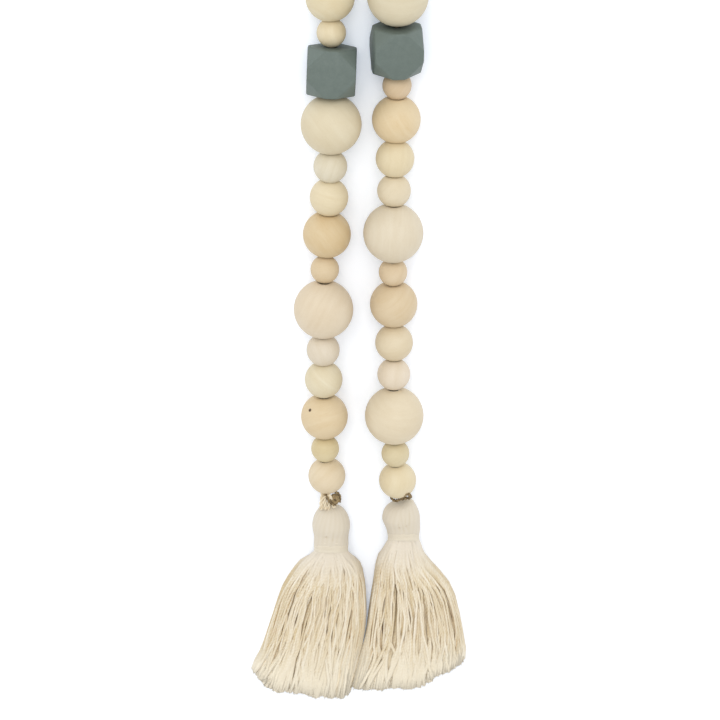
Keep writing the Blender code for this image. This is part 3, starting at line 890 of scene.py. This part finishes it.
def wave_about(line, inside, strays, rng):
    """Gives a yarn its own waves, and lifts it over the others where it strays."""
    share = YARN_SHARES
    slow, quick = rng.uniform(*SLOW_WAVE.radians), rng.uniform(*QUICK_WAVE.radians)
    wave = rng.uniform(*SLOW_WAVE.sizes) * np.sin(share * slow + rng.uniform(0, math.tau))
    wave += rng.uniform(*QUICK_WAVE.sizes) * np.sin(share * quick + rng.uniform(0, math.tau))
    line[:, 0] += wave * eased(share, 0.15, 0.5) * inside
    lift = rng.uniform(*LIFT_WAVE.sizes)
    lift *= np.sin(share * rng.uniform(*LIFT_WAVE.radians) + rng.uniform(0, math.tau))
    line[:, 2] += lift * eased(share, 0.25, 0.5)
    if strays:
        line[:, 2] += 0.45 * rises_and_falls(share, 0.35, 0.5, 0.8, 1)


def skirt_lines(tassel, side, rng):
    """The line of each yarn of a skirt, and its place across the bunch and up it, each from -1 to 1."""
    lines, places = [], []
    sets = [cut_locks(rng) for _ in range(3)]
    for layer in range(YARN_LAYERS):
        locks = sets[LAYER_LOCKS[layer]]
        for column in range(YARN_COLUMNS):
            u = (column + 0.5 * (layer % 2) + rng.uniform(0.15, 0.85)) / (YARN_COLUMNS + 0.5)
            v = (layer + rng.uniform(0.2, 0.8)) / YARN_LAYERS
            lock = next(lock for lock in locks if u < lock.end or lock is locks[-1])
            from_middle = (u - (lock.start + lock.end) / 2) / ((lock.end - lock.start) / 2)
            inside = 0.25 + 0.75 * min(1.0, 6 * min(u, 1 - u))
            strays = layer > YARN_LAYERS // 2 and rng.random() < 0.5
            line = yarn_path(tassel, BINDINGS[side].slope, u, v, from_middle, lock.short, strays, rng)
            follow_lock(line, lock, u, v, inside, from_middle, rng)
            wave_about(line, inside, strays, rng)
            level = 2 * v - 1
            part_yarns(line, PARTINGS[side], float(eased(level, -0.5, 0.3)))
            lines.append(line)
            places.append((2 * u - 1, level))
    return np.array(lines), np.array(places)


def level_frames(lines):
    """Across and up directions for strands that run nearly level."""
    ways = unit(np.gradient(lines, axis=1))
    across = unit(np.cross(ways, [0, 0, 1]))
    return across, np.cross(across, ways)


def frayed_ends(name, lines, bunch, rng):
    """Fine fibres that open out from each yarn's cut end."""
    tufts = []
    for line in lines:
        way = unit(line[-1] - line[-2])
        for _ in range(LOOSE_FIBRES):
            length = rng.uniform(*LOOSE_LENGTH)
            spread = np.array([rng.gauss(0, usual) for usual in LOOSE_SPREAD])
            start = line[-1] - way * length * rng.uniform(0.75, 0.95)
            start = start + np.array([rng.gauss(0, 0.35), 0, rng.gauss(0.1, 0.2)])
            tufts.append([start + (way * share + spread * share ** 1.5) * length for share in (0, 0.5, 1)])
    tufts = np.array(tufts)
    tufts[:, :, 2] = np.maximum(tufts[:, :, 2], 0.2)
    radii = np.tile(LOOSE_RADII, (len(tufts), 1))
    # Pale tones and fully loose fibres give the frayed ends their painted light.
    tones = [rng.uniform(0.85, 1.0) for _ in tufts]
    facing = np.repeat(bunch, LOOSE_FIBRES, axis=0)
    return strands(name, tufts, radii, 3, level_frames(tufts), tones, (0.9, 1, 1), facing)


def bunch_facing(across, level):
    """Which way the bunch faces where each yarn lies: up or down inside it, sideways at its sides."""
    beside = np.abs(across) ** 3
    upward = (level + np.copysign(0.1, level)) * (1 - beside) + 0.3 * beside
    return unit(np.stack([across ** 3, np.zeros(len(across)), upward], axis=1))


def make_skirt(side, cotton):
    """The hanging yarns of one tassel and their frayed ends."""
    tassel = TASSELS[side]
    rng = random.Random(tassel.seed)
    lines, places = skirt_lines(tassel, side, rng)
    across, level = places[:, 0], places[:, 1]
    bunch = bunch_facing(across, level)
    inner = 1 - np.maximum(level, 0)
    sizes = np.array([rng.uniform(0.85, 1.12) for _ in lines]) * (1 + 0.5 * inner)
    radii = YARN_RADIUS * np.interp(YARN_SHARES, *YARN_THICKNESS)[None] * sizes[:, None]
    lines[:, :, 2] = np.maximum(lines[:, :, 2], radii)
    # Painted shade: the lower, inner layers of yarn get darker tones, where shade falls inside the bunch.
    tones = [rng.uniform(0.35, 1.0) - 0.4 * deep for deep in inner]
    loose, neck = (np.interp(YARN_SHARES, *table) for table in (YARN_LOOSENESS, YARN_TIGHTNESS))
    body = strands(f"skirt_{side}", lines, radii, YARN_SIDES, level_frames(lines), tones, loose, bunch, neck)
    ends = frayed_ends(f"ends_{side}", lines, bunch, rng)
    finish_piece(joined(f"skirt_{side}", [body, ends]), cotton, f"tassel_{side}")


# A head's outline above its binding: its width as a share of the head's radius, and the share along it
HEAD = ((0.92, 0.38), (0.97, 0.48), (1.00, 0.62), (0.90, 0.78), (0.66, 0.92), (0.26, 1.00), (0.1, 1.02))
HEAD_STEPS = 240
RIBS = 44  # yarns that show round a head
RIB_DEPTH = 0.015
HEAD_WAVES = (3, 4, 7, 11)  # how many times a head swells round its girth, once for each wave
HEAD_SWELLS = (0.02, 0.05)  # the least and the most of each wave
# Creases down each head's front: place across from the head's middle, the shares along it where the
# crease starts and ends, and its depth
CREASES = {
    "left": ((0.9, 0.28, 0.66, 0.14), (-1.7, 0.3, 0.42, 0.08)),
    "right": (
        (-1.4, 0.30, 0.7, 0.13), (0.2, 0.28, 0.86, 0.2), (1.9, 0.34, 0.8, 0.12), (3.4, 0.5, 0.92, 0.12),
    ),
}
# Pits where yarns part just above the binding: place across, share along, depth
PITS = {
    "left": ((-2.1, 0.42, 0.7), (0.9, 0.34, 0.2)),
    "right": ((-1.4, 0.43, 0.5), (1.9, 0.50, 0.35)),
}
# How far each head's crown leans: across towards the knot, and up on that side
HEAD_LEAN = {"left": (0.0, 0.0), "right": (1.95, 0.14)}


def plain_head(tassel, side, length):
    """The domed head before its ribs and creases, its neck reaching under the binding."""
    neck = tassel.neck_radius / HEAD_RADIUS
    outline = ((neck, 0.06), (neck, 0.13), (BINDINGS[side].radius / HEAD_RADIUS, 0.19)) + HEAD
    line = smooth_line([(width * HEAD_RADIUS, share * length, 0) for width, share in outline], 6)
    bm = spun([(max(r, 0.3), y) for r, y, _ in line], HEAD_STEPS, closed=False)
    rim = [edge for edge in bm.edges if edge.is_boundary and edge.verts[0].co.y > length * 0.5]
    bmesh.ops.edgeloop_fill(bm, edges=rim)
    bmesh.ops.recalc_face_normals(bm, faces=bm.faces)
    return mesh_of(bm, f"head_{side}")


def hollows(side, own, share, length):
    """How deep the creases and the pits of a head are at each of its points, and how much painted shade
    darkens them.
    """
    front = own[:, 2] > 0
    deep, dark = np.zeros(len(own)), np.zeros(len(own))
    for place, start, end, depth in CREASES[side]:
        wander = place + 0.15 * np.sin(share * 14 + place)
        near = np.exp(-((own[:, 0] - wander) / 0.28) ** 2) * front
        near *= rises_and_falls(share, start - 0.02, start + 0.05, end - 0.15, end)
        deep += depth * near
        dark += 0.45 * near
    for place, along, depth in PITS[side]:
        across, up = (own[:, 0] - place) / 0.4, (own[:, 1] - along * length) / 0.5
        near = np.exp(-across ** 2 - up ** 2) * front
        deep += depth * near
        dark += 0.9 * near
    return deep, dark


def make_head(side, cotton):
    """The domed head, its yarns laid over the crown and down to the neck as fine ribs."""
    tassel = TASSELS[side]
    rng = random.Random(tassel.seed + 50)
    length = tassel.crown - tassel.neck_end
    mesh = plain_head(tassel, side, length)
    own = points_of(mesh)
    angle = np.arctan2(own[:, 2], own[:, 0])
    radius = np.hypot(own[:, 0], own[:, 2])
    share = np.clip(own[:, 1] / length, 0, 1)
    relief = RIB_DEPTH * (np.abs(np.sin(angle * RIBS / 2 + 0.4 * np.sin(angle * 5) + 0.3 * share)) - 1)
    for count in HEAD_WAVES:
        relief += rng.uniform(*HEAD_SWELLS) * np.sin(angle * count + rng.uniform(0, math.tau))
    relief *= np.sin(np.clip(share * 0.9 + 0.1, 0, 1) * math.pi) ** 0.5
    deep, dark = hollows(side, own, share, length)
    fresh = np.maximum(radius + (relief - deep) * np.clip(radius / 3, 0, 1), 0.05)
    along = own[:, 1].copy()
    slide, tip = HEAD_LEAN[side]
    own[:, 0] = np.cos(angle) * fresh
    own[:, 2] = np.maximum(np.sin(angle) * fresh + HEAD_HEIGHT, 0.02)
    own[:, 1] += own[:, 0] * tip * eased(share, 0.75, 1.0) + tassel.neck_end
    own[:, 1] += BINDINGS[side].slope * np.sin(angle) * (1 - eased(share, 0.15, 0.75))
    own[:, 0] += slide * (eased(share, 0.88, 1.02) - 0.54 * eased(share, 0.25, 0.6)) + tassel.middle
    move_points(mesh, own, PHOTO)
    rib = angle * RIBS / 2
    put_attribute(mesh, "lay", "FLOAT_VECTOR", np.stack([np.cos(rib), np.sin(rib), along * 0.4], axis=1))
    # The head's tone, lowered by the painted shade in its creases and pits.
    put_attribute(mesh, "tone", "FLOAT", 0.55 + 0.1 * np.sin(angle * 11 + 1.3) * np.sin(angle * 4) - dark)
    finish_piece(mesh, cotton, None)


THREAD = 0.44  # distance between two turns of the binding thread


def make_binding(side, thread):
    """The thread wound round the neck, one slanting coil of many turns."""
    middle, length, radius, slope = BINDINGS[side]
    turns = length / THREAD - 1
    angle = np.linspace(0, math.tau * turns, int(turns * 36))
    wound = radius - THREAD * 0.5 + 0.08 * np.sin(angle / 5)
    line = np.stack([
        TASSELS[side].middle + wound * np.cos(angle),
        middle - turns * THREAD / 2 + angle / math.tau * THREAD + slope * np.sin(angle),
        np.maximum(HEAD_HEIGHT + wound * np.sin(angle), THREAD * 0.6),
    ], axis=1)
    across, up = carried_frames(line)
    radii = THREAD * 0.56 * (1 + 0.08 * np.sin(angle * 3.3))
    mesh = strands(f"wound_{side}", line[None], radii[None], 6, (across[None], up[None]), [0.75])
    finish_piece(mesh, thread, f"binding_{side}")


def make_string(twine):
    """The twine from knot to knot, through the middle of every bore."""
    stops = []
    for middle, axis, half in BORES.values():
        stops += [middle - axis * half, middle + axis * half]
    points = [stops[0]] + [(a + b) / 2 for a, b in zip(stops[1::2], stops[2::2])] + [stops[-1]]
    line = np.array([point[:] for point in points]) - np.array(PHOTO) / MM
    rng = random.Random(3)
    mesh = twisted("twine_line", line, radius=1.0, pitch=5.2, plies=2, rng=rng, step=0.9)
    finish_piece(mesh, twine, "string")


# The cords of the hanging loop, as far as they show
LOOP_CORDS = (
    ((-13.7, -65.5, 10.6), (-13.6, -62.9, 11.1), (-13.5, -60.9, 11.2), (-12.9, -59.3, 11.0)),
    (
        (-16.8, -65.3, 11.0), (-16.7, -62.0, 11.3), (-16.3, -59.1, 11.0),
        (-16.0, -57.8, 9.6), (-15.8, -59.1, 7.4), (-16.1, -64.5, 6.0),
    ),
    (
        (-15.0, -65.1, 11.4), (-15.2, -61.9, 11.6), (-15.0, -59.4, 11.4), (-14.1, -57.7, 12.0),
        (-13.1, -57.7, 13.2), (-12.7, -59.2, 12.8), (-11.9, -61.8, 11.2), (-10.9, -64.0, 12.2),
    ),
)


def make_hanging_loop(cotton):
    """The left tassel's own small loop of doubled cotton cord."""
    rng = random.Random(8)
    cords = [
        twisted(f"cord_{index}", smooth_line(points, 8), radius=0.9, pitch=7.0, plies=3, rng=rng, step=0.4)
        for index, points in enumerate(LOOP_CORDS)
    ]
    finish_piece(joined("loop_cord", cords), cotton, "hanging_loop")


# Each knot's lump of close turns: its middle, its size across, along and up, its turn, its twine's
# radius, and how much paler than the twine it is
Lump = namedtuple("Lump", "middle size turn radius paler")
KNOT_LUMPS = {
    "left": Lump((-10.8, -60.0, 11.4), (1.8, 1.85, 1.4), 0.5, 0.75, 0.2),
    "right": Lump((18.3, -58.5, 13.8), (0.65, 0.7, 0.6), 1.1, 0.6, -0.3),
}
LUMP_TURNS = 5
# The twine that comes into each knot and leaves it, and its radius
KNOT_TAILS = {
    "left": (
        (
            (-15.3, -56.0, 12.0), (-14.8, -57.0, 13.2), (-13.7, -58.8, 13.6), (-12.2, -60.3, 13.0),
            (-11.0, -61.2, 11.8),
        ),
        (
            (-14.9, -56.3, 11.4), (-14.2, -58.8, 12.6), (-13.0, -60.7, 13.2), (-11.6, -61.9, 13.2),
            (-10.4, -62.5, 12.0),
        ),
        (
            (-12.3, -56.9, 8.4), (-11.6, -56.9, 10.2), (-10.0, -56.7, 11.8), (-8.7, -58.7, 11.8),
            (-8.9, -61.8, 11.2),
        ),
    ),
    "right": (
        (
            (13.5, -59.7, 7.6), (13.7, -60.6, 9.0), (14.4, -61.1, 10.0), (15.6, -60.9, 11.2),
            (16.9, -59.8, 12.6), (17.9, -58.8, 13.6),
        ),
        (
            (18.3, -57.9, 14.0), (19.0, -56.6, 15.0), (19.9, -55.6, 15.8), (20.8, -55.9, 15.4),
            (21.5, -57.2, 14.2), (21.8, -58.4, 13.2),
        ),
        (
            (18.4, -58.6, 13.6), (19.6, -58.8, 13.4), (20.8, -59.0, 13.0), (21.9, -59.1, 12.4),
        ),
    ),
}
TAIL_TWINE = {"left": 0.7, "right": 0.8}


def lump_line(lump):
    """Twine drawn round on itself into a small tight knot, each turn across the last."""
    t = np.linspace(0, math.tau * LUMP_TURNS, 24 * LUMP_TURNS)
    lean = lump.turn + t * 0.17
    out = np.stack([np.cos(lean), np.sin(lean), np.zeros(len(t))], axis=1)
    over = np.stack([-0.5 * np.sin(lean), 0.5 * np.cos(lean), np.full(len(t), 0.87)], axis=1)
    wound = np.cos(t)[:, None] * out + np.sin(t)[:, None] * over
    return wound * np.array(lump.size) + np.array(lump.middle)


def make_knot(side, twine):
    """The knot that ties a tassel to the twine: a lump of close turns, and the ends that leave it."""
    rng = random.Random(len(side) + 20)
    lump = KNOT_LUMPS[side]
    runs = [(lump_line(lump), lump.radius, lump.paler)]
    runs += [(smooth_line(tail, 10), TAIL_TWINE[side], 0.0) for tail in KNOT_TAILS[side]]
    meshes = [
        twisted(f"turn_{side}_{index}", run, radius, pitch=3.0, plies=2, rng=rng, step=0.35, paler=paler)
        for index, (run, radius, paler) in enumerate(runs)
    ]
    finish_piece(joined(f"tied_{side}", meshes), twine, f"knot_{side}")


def make_stage():
    """A plain pale floor, soft light from above and a camera at the photograph's angle."""
    made, board, shader = new_material("floor")
    board.fill(shader, {
        "Base Color": linear((252, 252, 253)), "Roughness": 0.9, "Specular IOR Level": 0.1,
        "Emission Color": FLOOR_GLOW, "Emission Strength": 1.0,
    })
    bm = bmesh.new()
    bmesh.ops.create_grid(bm, x_segments=1, y_segments=1, size=4.0)
    floor = linked("floor", mesh_of(bm, "floor"))
    floor.data.materials.append(made)

    world = bpy.data.worlds.new("studio")
    bpy.context.scene.world = world
    world.use_nodes = True
    background = world.node_tree.nodes["Background"]
    board.fill(background.inputs, {"Color": (1, 1, 1, 1), "Strength": 0.95})
    bpy.context.scene.view_settings.view_transform = "Standard"

    light = bpy.data.lights.new("softbox", "AREA")
    light.size = 1.0
    light.energy = 12.0
    softbox = linked("softbox", light)
    softbox.location = (-0.08, 0.95, 1.7)
    softbox.rotation_euler = (PHOTO - softbox.location).to_track_quat("-Z", "Y").to_euler()

    camera = linked("camera", bpy.data.cameras.new("camera"))
    camera.data.sensor_width = 36.0
    camera.data.lens = 140.4
    away = Vector((0, math.sin(CAMERA_TILT), math.cos(CAMERA_TILT))) * CAMERA_DISTANCE * MM
    camera.location = PHOTO + away
    camera.rotation_euler = (-CAMERA_TILT, 0, 0)
    bpy.context.scene.camera = camera


def main():
    make_wood_beads()
    make_sage_beads()
    yarns = {name: yarn(name) for name in YARNS}
    for side in TASSELS:
        make_skirt(side, yarns["cotton"])
        make_head(side, yarns["cotton_laid"])
        make_binding(side, yarns["cotton_thread"])
        make_knot(side, yarns["twine"])
    make_string(yarns["twine"])
    make_hanging_loop(yarns["cotton_cord"])
    make_stage()


main()
